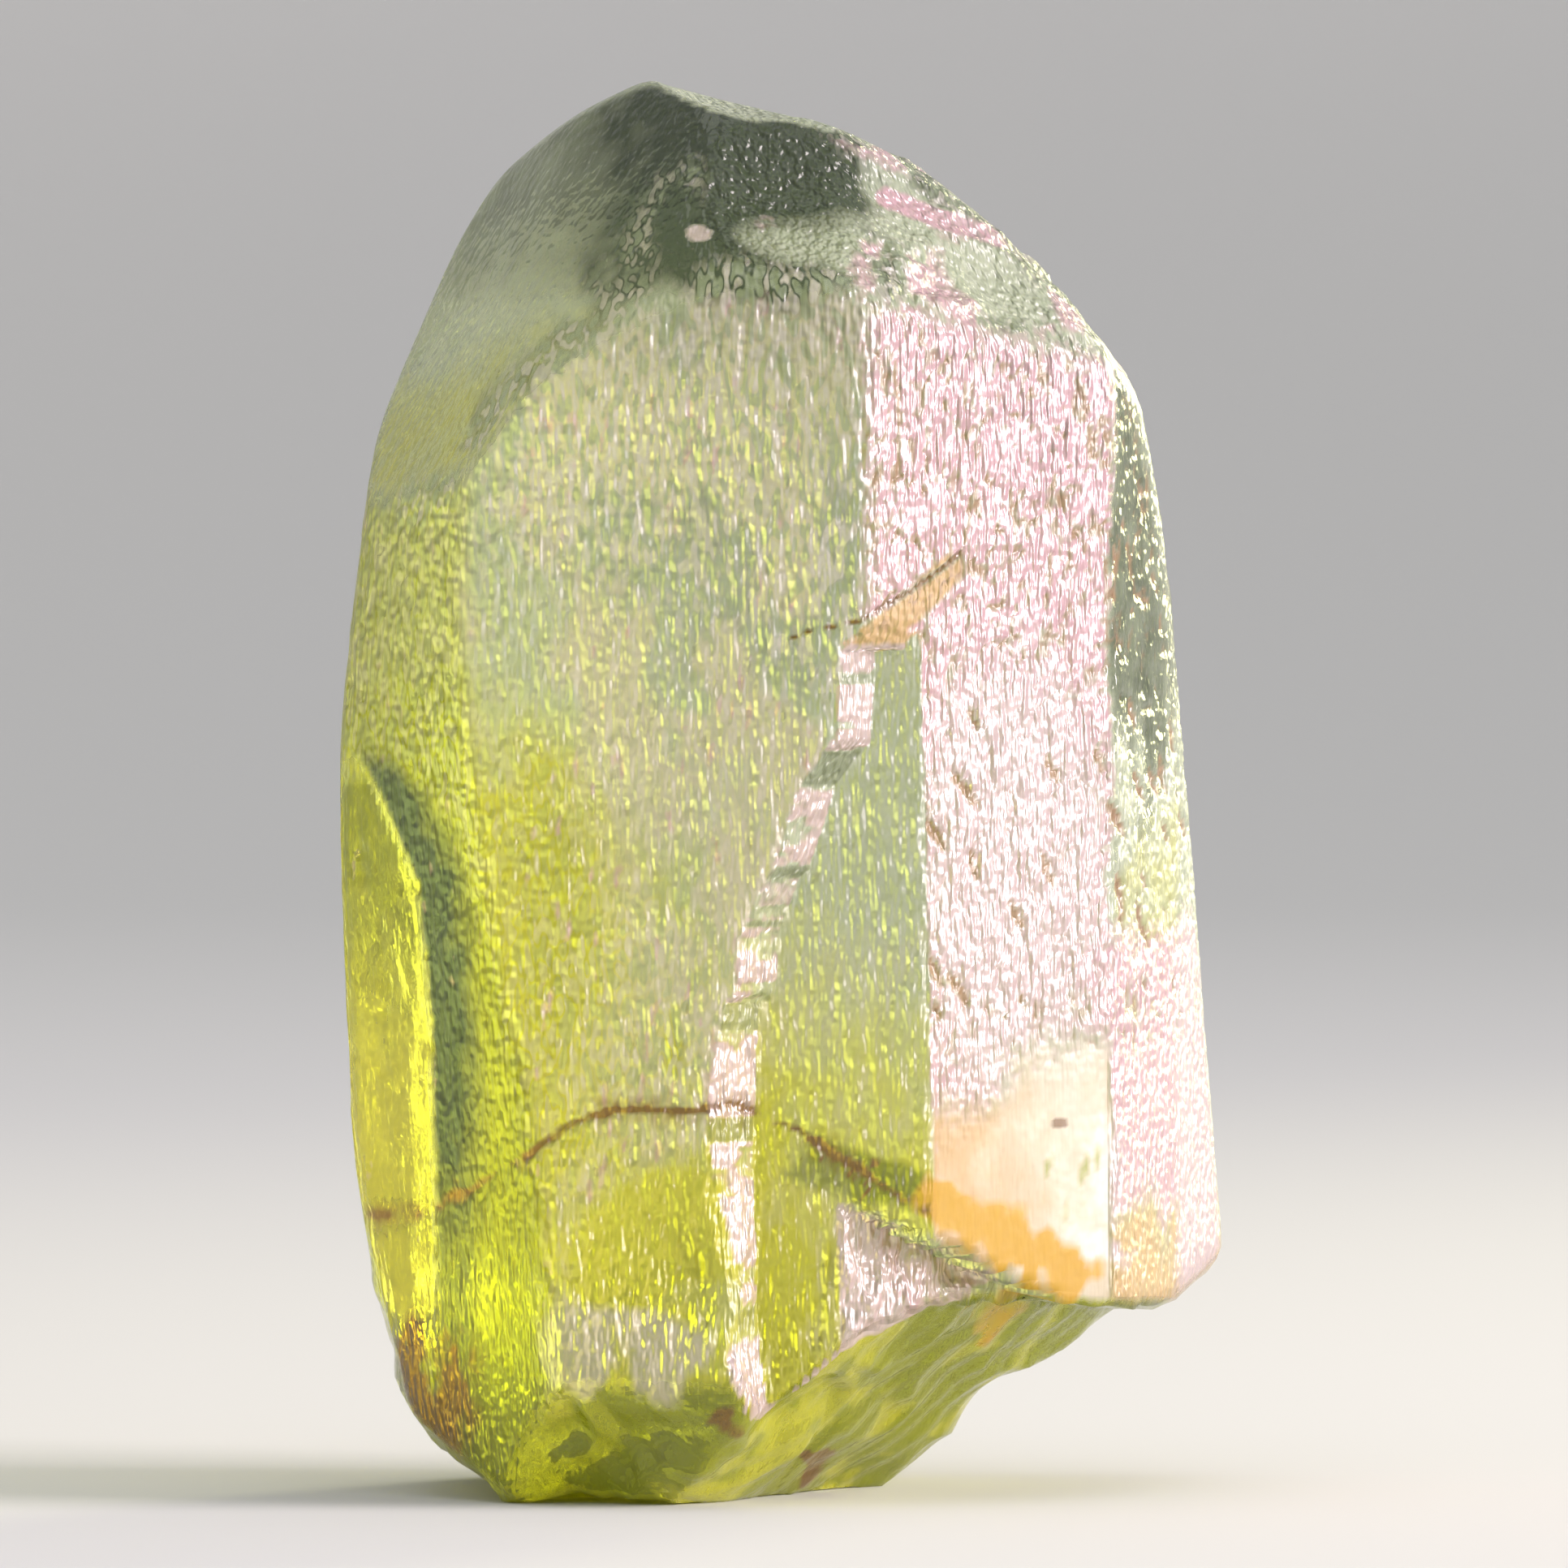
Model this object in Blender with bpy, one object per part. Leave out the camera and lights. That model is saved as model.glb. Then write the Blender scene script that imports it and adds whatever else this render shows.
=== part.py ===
"""A rough peridot crystal that stands on its broken foot, as one solid piece.

The crystal is cleaved out of a block, one named flat face after another: the upright prism faces,
the sloping faces of its tip and the breaks of its foot. Every edge of it is then worn a little
blunt, and what breaks the flat faces is cut in: the long ledge down the front, the chip and the
fracture under the corner knob, and the shell-shaped hollows. Sizes are in millimetres until they
are multiplied by MM. X runs to the right, Y away from the front face and Z up.
"""

import math

import bmesh
import bpy
from mathutils import Matrix, Vector

MM = 0.001
BLOCK = 60.0

PERIDOT_COLOUR = (0.46, 0.56, 0.10, 1.0)
PERIDOT_ROUGHNESS = 0.25
PERIDOT_IOR = 1.67
PERIDOT_TRANSMISSION = 0.9

# How an edge is worn: as if rounded to this radius, but never deeper than the limit, and only where
# its two faces turn by more than the least angle, in degrees.
WEAR_RADIUS = 1.5
WEAR_LIMIT = 0.17
WEAR_LEAST_TURN = 12.0

# Each face has a name, the way it looks (degrees to the right of the front, degrees upwards) and a
# point that it passes through.
FRONT = ("front", -8.0, 1.0, (-2.4, -6.0, 12.0))
FRONT_RIGHT = ("front_right", 38.0, 0.5, (1.6, -6.42, 20.0))
FRONT_RECESSED = ("front_recessed", -6.5, -0.6, (1.0, -5.42, 12.0))
PRISM_FACES = (
    FRONT,
    FRONT_RIGHT,
    ("right", 70.0, 0.6, (6.6, -2.5, 12.0)),
    ("right_edge", 92.0, 5.3, (8.26, 0.0, 12.3)),
    ("right_edge_high", 90.0, 11.5, (7.4, 0.0, 20.1)),
    ("back_right", 124.0, 3.5, (8.5, 4.1, 12.2)),
    ("back", 172.0, 1.0, (0.0, 6.4, 12.0)),
    ("back_left", 218.0, 1.5, (-4.6, 5.6, 12.0)),
    ("left_high", 268.0, 6.6, (-8.64, 0.0, 16.1)),
    ("left_low", 268.0, -1.9, (-8.7, 0.0, 12.0)),
    ("left_front", 304.0, 2.0, (-6.3, -5.45, 16.0)),
    ("left_front_low", 309.0, -5.6, (-6.1, -5.5, 14.4)),
)
TIP_FACES = (
    ("tip_left", 300.0, 28.0, (-6.3, -5.5, 19.8)),
    ("tip_left_front", 322.0, 36.0, (-4.3, -5.7, 22.2)),
    ("tip_left_arc", 338.0, 31.0, (-2.6, -6.0, 23.1)),
    ("tip_left_crown", 272.0, 51.0, (-5.26, -0.6, 26.5)),
    ("tip_left_peak", 262.0, 67.0, (-3.6, -0.6, 27.62)),
    ("tip_left_back", 250.0, 31.0, (-6.4, 0.6, 25.0)),
    ("tip_left_back_low", 258.0, 19.0, (-7.6, 0.0, 22.1)),
    ("tip_front", 355.0, 27.0, (-0.6, -6.3, 23.55)),
    ("tip_front_high", 8.0, 46.0, (0.0, -4.5, 25.9)),
    ("tip_right", 46.0, 38.0, (1.55, -4.9, 24.9)),
    ("tip_right_low", 86.0, 30.0, (6.75, -0.6, 22.2)),
    ("tip_right_edge", 90.0, 44.3, (5.1, 0.0, 24.12)),
    ("tip_right_crown", 88.0, 58.7, (2.6, 0.0, 26.25)),
    ("tip_right_back", 128.0, 40.0, (3.6, 2.6, 24.8)),
    ("tip_back", 180.0, 44.0, (-1.0, 3.6, 25.6)),
    ("tip_top", 90.0, 75.0, (-2.6, 0.0, 28.04)),
)
FOOT_FACES = (
    ("foot_front", 352.0, -36.0, (-1.0, -6.2, 2.2)),
    ("foot_knob", 88.0, -51.0, (8.2, 0.0, 4.12)),
    ("foot_left", 270.0, -13.5, (-8.08, 0.0, 4.4)),
    ("foot_left_low", 272.0, -53.0, (-6.75, 0.0, 1.05)),
    ("foot_back", 176.0, -30.0, (0.0, 6.0, 3.0)),
    ("foot_rest", 0.0, -90.0, (0.0, 0.0, 0.0)),
)

# Each break takes off what lies outside all of its faces.
KNOB_UNDERSIDE = ("knob_underside", 284.0, -85.0, (5.4, -3.4, 3.92))
BREAKS = (
    ("foot_right", (("foot_right", 57.0, -46.0, (1.19, -5.33, 3.15)), KNOB_UNDERSIDE)),
    (
        "foot_right_back",
        (
            ("foot_right_back_low", 104.0, -45.0, (3.4, 2.2, 1.35)),
            ("foot_right_back_high", 112.0, -59.0, (5.6, 2.4, 3.0)),
            KNOB_UNDERSIDE,
        ),
    ),
    (
        "front_chip",
        (
            ("chip_face", 35.0, 3.0, (1.06, -5.44, 4.5)),
            ("chip_roof", 292.0, -67.0, (1.03, -5.4, 5.94)),
        ),
    ),
)

# The ledge: right of this brink the front lies deeper. Each row is the brink's X and Z and how far
# the step's slope runs from there in X and Z.
LEDGE_BRINK = (
    (2.95, 18.30, -0.15, -0.80),
    (2.10, 17.72, 0.20, -0.90),
    (1.50, 17.16, 0.45, -0.46),
    (1.05, 16.90, 0.68, -0.12),
    (1.00, 15.06, 0.66, 0.0),
    (0.30, 14.20, 0.68, -0.06),
    (-0.22, 12.52, 0.66, 0.0),
    (-0.34, 12.36, 0.62, 0.0),
    (-0.80, 11.30, 0.70, 0.0),
    (-0.85, 10.10, 0.66, 0.0),
    (-1.10, 9.90, 0.62, 0.0),
    (-1.32, 8.70, 0.74, 0.0),
    (-1.38, 7.50, 0.78, 0.0),
    (-1.22, 5.80, 0.60, 0.0),
    (-0.80, 4.10, 0.20, 0.0),
    (-1.00, 3.05, 0.46, 0.0),
    (-0.55, 1.20, 0.30, 0.0),
)
LEDGE_LOW = -2.0
LEDGE_RIGHT = 6.6
LEDGE_REACH = 1.6
LEDGE_LEAST_DEPTH = 0.6

# Each hollow is left by a ball: a name, the ball's centre, its radius and its stretch along X, Y
# and Z.
HOLLOWS = (
    ("apex_notch", (-0.40, -1.6, 30.00), 2.85, (1.0, 1.7, 1.0)),
    ("crown_scallop", (0.3, -8.0, 28.9), 5.0, (0.95, 1.0, 1.0)),
    ("crown_chip", (3.7, -4.6, 26.3), 2.0, (1.25, 1.0, 0.8)),
    ("shoulder_chip", (5.5, -4.0, 24.6), 1.7, (1.2, 1.0, 0.8)),
    ("front_scallop", (-2.5, -12.8, 4.7), 6.95, (0.95, 1.0, 0.8)),
    ("foot_left_hollow", (-4.4, -8.0, -1.5), 4.4, (1.0, 1.0, 1.0)),
    ("foot_rest_hollow", (-3.6, -4.6, -3.95), 4.25, (0.8, 1.4, 1.0)),
    ("back_scallop", (2.4, 11.4, 6.2), 5.6, (1.0, 1.0, 1.3)),
    ("back_chip", (-4.6, 9.9, 19.5), 4.4, (1.0, 1.0, 1.1)),
)
HOLLOW_FINENESS = 4


def clear_scene():
    """Removes whatever the scene holds."""
    for leftover in list(bpy.data.objects):
        bpy.data.objects.remove(leftover)


def facing(turn, rise):
    """The unit vector that looks turn degrees right of the front and rise degrees upwards."""
    turn, rise = math.radians(turn), math.radians(rise)
    return Vector((math.sin(turn) * math.cos(rise), -math.cos(turn) * math.cos(rise), math.sin(rise)))


def depth_on(face, x, z):
    """The Y at which a flat face passes through this X and Z."""
    _, turn, rise, point = face
    normal = facing(turn, rise)
    return (normal.dot(Vector(point)) - normal.x * x - normal.z * z) / normal.y


def cleave(body, normal, point):
    """Splits off all that lies outside one flat face, and closes the split with that face."""
    everything = body.verts[:] + body.edges[:] + body.faces[:]
    split = bmesh.ops.bisect_plane(
        body,
        geom=everything,
        dist=1e-7,
        plane_co=Vector(point),
        plane_no=normal,
        clear_outer=True,
    )
    rim = [item for item in split["geom_cut"] if isinstance(item, bmesh.types.BMEdge)]
    if rim:
        bmesh.ops.contextual_create(body, geom=rim)


def block():
    """A block much larger than the crystal."""
    body = bmesh.new()
    bmesh.ops.create_cube(body, size=BLOCK)
    return body


def worn_faces(body):
    """For each edge that is worn, the way its worn strip looks and a point of that strip."""
    body.normal_update()
    strips = []
    for edge in body.edges:
        first, second = (face.normal for face in edge.link_faces)
        turn = first.angle(second)
        if turn < math.radians(WEAR_LEAST_TURN):
            continue
        depth = min(WEAR_RADIUS * (1.0 / math.cos(turn / 2.0) - 1.0), WEAR_LIMIT)
        normal = (first + second).normalized()
        middle = (edge.verts[0].co + edge.verts[1].co) / 2.0
        strips.append((normal, middle - normal * depth))
    return strips


def crystal_body():
    """The crystal with only its flat faces and its worn edges."""
    body = block()
    for _, turn, rise, point in PRISM_FACES + TIP_FACES + FOOT_FACES:
        cleave(body, facing(turn, rise), point)
    for normal, point in worn_faces(body):
        cleave(body, normal, point)
    bmesh.ops.remove_doubles(body, verts=body.verts[:], dist=1e-4)
    bmesh.ops.recalc_face_normals(body, faces=body.faces[:])
    return body


def break_body(faces):
    """What one break takes off: all that lies outside each of its faces."""
    body = block()
    for _, turn, rise, point in faces:
        cleave(body, -facing(turn, rise), point)
    bmesh.ops.recalc_face_normals(body, faces=body.faces[:])
    return body


def ledge_body():
    """What the ledge takes off the front: a plate whose left and top sides slope to the brink."""
    inner, outer = [], []
    for x, z, run_x, run_z in LEDGE_BRINK:
        brink_y = max(depth_on(FRONT, x, z), depth_on(FRONT_RIGHT, x, z))
        foot = Vector((x + run_x, 0.0, z + run_z))
        foot.y = depth_on(FRONT_RECESSED, foot.x, foot.z)
        inner.append(foot)
        reach = LEDGE_REACH / max(foot.y - brink_y, LEDGE_LEAST_DEPTH)
        outer.append(foot + Vector((-run_x * reach, -LEDGE_REACH, -run_z * reach)))
    for x, z in ((inner[-1].x, LEDGE_LOW), (LEDGE_RIGHT, LEDGE_LOW), (LEDGE_RIGHT, inner[0].z)):
        step = Vector((x, depth_on(FRONT_RECESSED, x, z), z))
        inner.append(step)
        outer.append(step - Vector((0.0, LEDGE_REACH, 0.0)))
    body = bmesh.new()
    back = [body.verts.new(corner) for corner in inner]
    front = [body.verts.new(corner) for corner in outer]
    body.faces.new(back)
    body.faces.new(front)
    for i in range(len(back)):
        j = (i + 1) % len(back)
        body.faces.new((back[i], back[j], front[j], front[i]))
    bmesh.ops.triangulate(body, faces=body.faces[:])
    bmesh.ops.recalc_face_normals(body, faces=body.faces[:])
    return body


def hollow_body(centre, radius, stretch):
    """The ball that leaves one hollow."""
    body = bmesh.new()
    place = Matrix.Translation(Vector(centre)) @ Matrix.Diagonal((*stretch, 1.0))
    bmesh.ops.create_icosphere(body, subdivisions=HOLLOW_FINENESS, radius=radius, matrix=place)
    return body


def middle_of(body):
    """The middle of the shape in X and Y, at the height of its foot."""
    xs = [vert.co.x for vert in body.verts]
    ys = [vert.co.y for vert in body.verts]
    return Vector(((min(xs) + max(xs)) / 2.0, (min(ys) + max(ys)) / 2.0, 0.0))


def add_object(name, body, middle):
    """Puts a shape in the scene as an object, in metres and centred as the crystal is."""
    bmesh.ops.transform(body, matrix=Matrix.Scale(MM, 4) @ Matrix.Translation(-middle), verts=body.verts[:])
    mesh = bpy.data.meshes.new(name)
    body.to_mesh(mesh)
    body.free()
    thing = bpy.data.objects.new(name, mesh)
    bpy.context.scene.collection.objects.link(thing)
    return thing


def cut(thing, name, body, middle):
    """Takes a shape out of the object."""
    cutter = add_object(name + "_cutter", body, middle)
    cutter.hide_render = True
    cutter.display_type = "WIRE"
    boolean = thing.modifiers.new(name, "BOOLEAN")
    boolean.operation = "DIFFERENCE"
    boolean.solver = "EXACT"
    boolean.object = cutter


def peridot():
    """The clear yellow-green material."""
    material = bpy.data.materials.new("peridot")
    material.use_nodes = True
    shader = material.node_tree.nodes["Principled BSDF"]
    shader.inputs["Base Color"].default_value = PERIDOT_COLOUR
    shader.inputs["Roughness"].default_value = PERIDOT_ROUGHNESS
    shader.inputs["Metallic"].default_value = 0.0
    shader.inputs["IOR"].default_value = PERIDOT_IOR
    shader.inputs["Transmission Weight"].default_value = PERIDOT_TRANSMISSION
    return material


def main():
    clear_scene()
    body = crystal_body()
    middle = middle_of(body)
    crystal = add_object("peridot_crystal", body, middle)
    crystal.data.materials.append(peridot())
    for name, faces in BREAKS:
        cut(crystal, name, break_body(faces), middle)
    cut(crystal, "ledge", ledge_body(), middle)
    for name, centre, radius, stretch in HOLLOWS:
        cut(crystal, name, hollow_body(centre, radius, stretch), middle)


main()
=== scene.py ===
"""The looks of a rough peridot crystal: its etched and broken surface, its clear yellow-green body
with iron stains, and a plain pale stage with soft light.

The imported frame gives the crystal's place. Lengths in the tables are in millimetres, X to the right,
Y away from the front face and Z up, as seen from the wide face with the ledge.
"""

import math

import bpy
import numpy as np
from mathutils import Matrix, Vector


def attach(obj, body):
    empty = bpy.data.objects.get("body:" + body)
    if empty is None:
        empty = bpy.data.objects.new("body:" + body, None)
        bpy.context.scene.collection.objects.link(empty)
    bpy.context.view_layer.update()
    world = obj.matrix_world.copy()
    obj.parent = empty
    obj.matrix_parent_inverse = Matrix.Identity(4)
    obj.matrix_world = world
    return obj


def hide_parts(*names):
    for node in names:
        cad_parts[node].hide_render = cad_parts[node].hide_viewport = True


bl_info = {
    "name": "Rough Peridot Crystal",
    "version": (1, 0, 0),
    "blender": (4, 5, 0),
    "location": "View3D > Sidebar > Peridot",
    "description": "Builds the etched surface and clear material of a rough peridot crystal",
    "category": "Add Mesh",
}

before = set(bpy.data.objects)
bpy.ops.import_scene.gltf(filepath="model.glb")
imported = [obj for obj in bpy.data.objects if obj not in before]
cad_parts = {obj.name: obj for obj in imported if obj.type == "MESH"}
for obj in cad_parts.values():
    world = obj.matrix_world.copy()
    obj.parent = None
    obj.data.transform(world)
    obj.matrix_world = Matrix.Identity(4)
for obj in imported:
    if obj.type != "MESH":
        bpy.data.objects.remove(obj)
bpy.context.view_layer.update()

MM = 0.001
NODE = "peridot_crystal"
BODY = "root"

# The middle of the crystal in the coordinates of the tables below.
MIDDLE = (-0.0112, 0.1337, 0.0)

# Each face has a name, the way it looks (degrees to the right of the front, degrees upwards) and a
# point that it passes through.
FRONT = ("front", -8.0, 1.0, (-2.4, -6.0, 12.0))
FRONT_RIGHT = ("front_right", 38.0, 0.5, (1.6, -6.42, 20.0))
FRONT_RECESSED = ("front_recessed", -6.5, -0.6, (1.0, -5.42, 12.0))
PRISM_FACES = (
    FRONT,
    FRONT_RIGHT,
    ("right", 70.0, 0.6, (6.6, -2.5, 12.0)),
    ("right_edge", 92.0, 5.3, (8.26, 0.0, 12.3)),
    ("right_edge_high", 90.0, 11.5, (7.4, 0.0, 20.1)),
    ("back_right", 124.0, 3.5, (8.5, 4.1, 12.2)),
    ("back", 172.0, 1.0, (0.0, 6.4, 12.0)),
    ("back_left", 218.0, 1.5, (-4.6, 5.6, 12.0)),
    ("left_high", 268.0, 6.6, (-8.64, 0.0, 16.1)),
    ("left_low", 268.0, -1.9, (-8.7, 0.0, 12.0)),
    ("left_front", 304.0, 2.0, (-6.3, -5.45, 16.0)),
    ("left_front_low", 309.0, -5.6, (-6.1, -5.5, 14.4)),
)
TIP_FACES = (
    ("tip_left", 300.0, 28.0, (-6.3, -5.5, 19.8)),
    ("tip_left_front", 322.0, 36.0, (-4.3, -5.7, 22.2)),
    ("tip_left_arc", 338.0, 31.0, (-2.6, -6.0, 23.1)),
    ("tip_left_crown", 272.0, 51.0, (-5.26, -0.6, 26.5)),
    ("tip_left_peak", 262.0, 67.0, (-3.6, -0.6, 27.62)),
    ("tip_left_back", 250.0, 31.0, (-6.4, 0.6, 25.0)),
    ("tip_left_back_low", 258.0, 19.0, (-7.6, 0.0, 22.1)),
    ("tip_front", 355.0, 27.0, (-0.6, -6.3, 23.55)),
    ("tip_front_high", 8.0, 46.0, (0.0, -4.5, 25.9)),
    ("tip_right", 46.0, 38.0, (1.55, -4.9, 24.9)),
    ("tip_right_low", 86.0, 30.0, (6.75, -0.6, 22.2)),
    ("tip_right_edge", 90.0, 44.3, (5.1, 0.0, 24.12)),
    ("tip_right_crown", 88.0, 58.7, (2.6, 0.0, 26.25)),
    ("tip_right_back", 128.0, 40.0, (3.6, 2.6, 24.8)),
    ("tip_back", 180.0, 44.0, (-1.0, 3.6, 25.6)),
    ("tip_top", 90.0, 75.0, (-2.6, 0.0, 28.04)),
)
FOOT_FACES = (
    ("foot_front", 352.0, -36.0, (-1.0, -6.2, 2.2)),
    ("foot_knob", 88.0, -51.0, (8.2, 0.0, 4.12)),
    ("foot_left", 270.0, -13.5, (-8.08, 0.0, 4.4)),
    ("foot_left_low", 272.0, -53.0, (-6.75, 0.0, 1.05)),
    ("foot_back", 176.0, -30.0, (0.0, 6.0, 3.0)),
)
FLAT_FACES = PRISM_FACES + TIP_FACES + FOOT_FACES
FACE_NAMES = [face[0] for face in FLAT_FACES]

# Each break takes off what lies outside all of its faces.
KNOB_UNDERSIDE = ("knob_underside", 284.0, -85.0, (5.4, -3.4, 3.92))
BREAKS = (
    ("foot_right", (("foot_right", 57.0, -46.0, (1.19, -5.33, 3.15)), KNOB_UNDERSIDE)),
    (
        "foot_right_back",
        (
            ("foot_right_back_low", 104.0, -45.0, (3.4, 2.2, 1.35)),
            ("foot_right_back_high", 112.0, -59.0, (5.6, 2.4, 3.0)),
            KNOB_UNDERSIDE,
        ),
    ),
    (
        "front_chip",
        (
            ("chip_face", 35.0, 3.0, (1.06, -5.44, 4.5)),
            ("chip_roof", 292.0, -67.0, (1.03, -5.4, 5.94)),
        ),
    ),
)

# The ledge: right of this brink the front lies deeper. Each row is the brink's X and Z and how far
# the step's slope runs from there in X and Z.
LEDGE_BRINK = (
    (2.95, 18.30, -0.15, -0.80),
    (2.10, 17.72, 0.20, -0.90),
    (1.50, 17.16, 0.45, -0.46),
    (1.05, 16.90, 0.68, -0.12),
    (1.00, 15.06, 0.66, 0.0),
    (0.30, 14.20, 0.68, -0.06),
    (-0.22, 12.52, 0.66, 0.0),
    (-0.34, 12.36, 0.62, 0.0),
    (-0.80, 11.30, 0.70, 0.0),
    (-0.85, 10.10, 0.66, 0.0),
    (-1.10, 9.90, 0.62, 0.0),
    (-1.32, 8.70, 0.74, 0.0),
    (-1.38, 7.50, 0.78, 0.0),
    (-1.22, 5.80, 0.60, 0.0),
    (-0.80, 4.10, 0.20, 0.0),
    (-1.00, 3.05, 0.46, 0.0),
    (-0.55, 1.20, 0.30, 0.0),
)
LEDGE_DEPTH = 0.95
LEDGE_BEYOND = (6.0, 18.7)

# Each hollow is left by a ball: a name, the ball's centre, its radius and its stretch along X, Y
# and Z.
HOLLOWS = (
    ("apex_notch", (-0.40, -1.6, 30.00), 2.85, (1.0, 1.7, 1.0)),
    ("crown_scallop", (0.3, -8.0, 28.9), 5.0, (0.95, 1.0, 1.0)),
    ("crown_chip", (3.7, -4.6, 26.3), 2.0, (1.25, 1.0, 0.8)),
    ("shoulder_chip", (5.5, -4.0, 24.6), 1.7, (1.2, 1.0, 0.8)),
    ("front_scallop", (-2.5, -12.8, 4.7), 6.95, (0.95, 1.0, 0.8)),
    ("foot_left_hollow", (-4.4, -8.0, -1.5), 4.4, (1.0, 1.0, 1.0)),
    ("foot_rest_hollow", (-3.6, -4.6, -3.95), 4.25, (0.8, 1.4, 1.0)),
    ("back_scallop", (2.4, 11.4, 6.2), 5.6, (1.0, 1.0, 1.3)),
    ("back_chip", (-4.6, 9.9, 19.5), 4.4, (1.0, 1.0, 1.1)),
)

# The height that the camera looks at.
VIEW_MIDDLE = 14.06

# How sharp the worn edges are: larger is sharper, per millimetre.
EDGE_SHARPNESS = 11.0
CUT_SHARPNESS = 16.0
SOFT_RIM_SHARPNESS = 5.0
SOFT_RIMS = ("crown_scallop", "crown_chip", "shoulder_chip", "front_scallop", "back_scallop")

# The spine that the surface is measured from: its X and Y, and its lowest and highest point.
SPINE = (-0.2, 0.0, 6.0, 21.0)
SEARCH_REACH = 24.0
SEARCH_STEPS = 26

# How the grid is laid on the crystal: the shares of its rows below and above the spine, how much its
# columns crowd on the front (radians), and the turn that brings the crowd there.
COLUMNS = 336
ROWS = 292
FOOT_SHARE = 0.20
TIP_SHARE = 0.28
FRONT_CROWDING = -0.38
FRONT_TURN = math.pi

# How ragged the noise makes the edges of the tones.
TONE_BREAK = 0.7
# How strongly the bright sparks, which are painted glints, and the dim sparks show, and what the noise and
# the dull tone add to roughness.
PAINTED_GLINTS, DIM_SPARKS = 0.75, 0.70
UNEVEN_ROUGHNESS, DULL_ROUGHNESS = 0.10, 0.32


def facing(turn, rise):
    """The unit vector that looks turn degrees right of the front and rise degrees upwards."""
    turn, rise = math.radians(turn), math.radians(rise)
    flat = math.cos(rise)
    return np.array([math.sin(turn) * flat, -math.cos(turn) * flat, math.sin(rise)])


def plane(face):
    """A flat face as its outward unit vector and its distance from the zero point along it."""
    _, turn, rise, point = face
    normal = facing(turn, rise)
    return normal, float(normal @ np.array(point))


def height_over(face, points):
    """How far each point lies outside one flat face."""
    normal, level = plane(face)
    return points @ normal - level


def soft_max(first, second, sharpness):
    """The larger of two fields, rounded where they are about equal."""
    top = np.maximum(first, second)
    return top + np.log(np.exp(sharpness * (first - top)) + np.exp(sharpness * (second - top))) / sharpness


def flat_faces_field(points):
    """How far outside the flat-faced crystal a point lies: the rounded largest of its heights over
    all the flat faces. Also gives the nearest face and how clearly it is the nearest."""
    normals = np.array([plane(face)[0] for face in FLAT_FACES])
    levels = np.array([plane(face)[1] for face in FLAT_FACES])
    heights = points @ normals.T - levels
    top = heights.max(axis=1)
    rounded = top + np.log(np.exp(EDGE_SHARPNESS * (heights - top[:, None])).sum(axis=1)) / EDGE_SHARPNESS
    return rounded, heights


def ledge_field(points):
    """Positive inside what the ledge takes off: in front of the recessed plane and right of the
    brink's slope, whose path in X over Z is blended between its foot and its brink by height."""
    rows = np.array(LEDGE_BRINK)[::-1]
    brink_z = np.append(rows[:, 1], LEDGE_BEYOND[1])
    brink_x = np.append(rows[:, 0], LEDGE_BEYOND[0])
    foot_z = np.maximum.accumulate(np.append(rows[:, 1] + rows[:, 3], LEDGE_BEYOND[1] - 0.8))
    foot_x = np.append(rows[:, 0] + rows[:, 2], LEDGE_BEYOND[0])
    height = height_over(FRONT_RECESSED, points)
    blend = np.clip(height / LEDGE_DEPTH, -0.3, 1.3)
    x, z = points[:, 0], points[:, 2]
    path = (1.0 - blend) * np.interp(z, foot_z, foot_x) + blend * np.interp(z, brink_z, brink_x)
    wall = (x - path) * 0.78
    return -soft_max(-wall, -height, CUT_SHARPNESS)


def break_field(faces, points):
    """Positive inside what one break takes off: the smallest of the heights over its faces."""
    return np.min([height_over(face, points) for face in faces], axis=0)


def hollow_field(centre, radius, stretch, points):
    """Positive inside a stretched ball: its radius less the distance from its centre."""
    scale = np.array(stretch)
    away = np.linalg.norm((points - np.array(centre)) / scale, axis=1)
    return (radius - away) * min(stretch)


def cut_fields(points):
    """The fields of everything that is cut out of the flat-faced crystal, by name."""
    fields = {"ledge": ledge_field(points)}
    for name, faces in BREAKS:
        fields[name] = break_field(faces, points)
    for name, centre, radius, stretch in HOLLOWS:
        fields[name] = hollow_field(centre, radius, stretch, points)
    return fields


def crystal_field(points):
    """How far outside the whole crystal a point lies: the flat-faced field, raised to each cut's."""
    field, _ = flat_faces_field(points)
    for name, cut in cut_fields(points).items():
        field = soft_max(field, cut, SOFT_RIM_SHARPNESS if name in SOFT_RIMS else CUT_SHARPNESS)
    return soft_max(field, -points[:, 2], 14.0)


# -------------------- patterns


def hashed(cells, seed):
    """A repeatable number from 0 to 1 for each whole-number cell: its coordinates are multiplied by
    large primes and their bits are mixed."""
    mixed = (cells * np.array([73856093, 19349663, 83492791])).sum(axis=-1) + seed * 668265263
    mixed = mixed & 0xFFFFFFFF
    mixed = ((mixed ^ (mixed >> 15)) * 2246822519) & 0xFFFFFFFF
    mixed = ((mixed ^ (mixed >> 13)) * 3266489917) & 0xFFFFFFFF
    return ((mixed ^ (mixed >> 16)) & 0xFFFFFF) / 16777215.0


def noise(points, size, seed):
    """Smooth noise from 0 to 1: the hashed values at the eight corners of the cell around each
    point, blended with eased weights. The cells are this long along X, Y and Z."""
    scaled = points / np.array(size)
    cell = np.floor(scaled).astype(np.int64)
    part = scaled - cell
    part = part * part * (3.0 - 2.0 * part)
    total = np.zeros(len(points))
    for corner in range(8):
        step = np.array([corner & 1, (corner >> 1) & 1, (corner >> 2) & 1])
        weight = np.where(step, part, 1.0 - part).prod(axis=1)
        total += weight * hashed(cell + step, seed)
    return total


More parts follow.
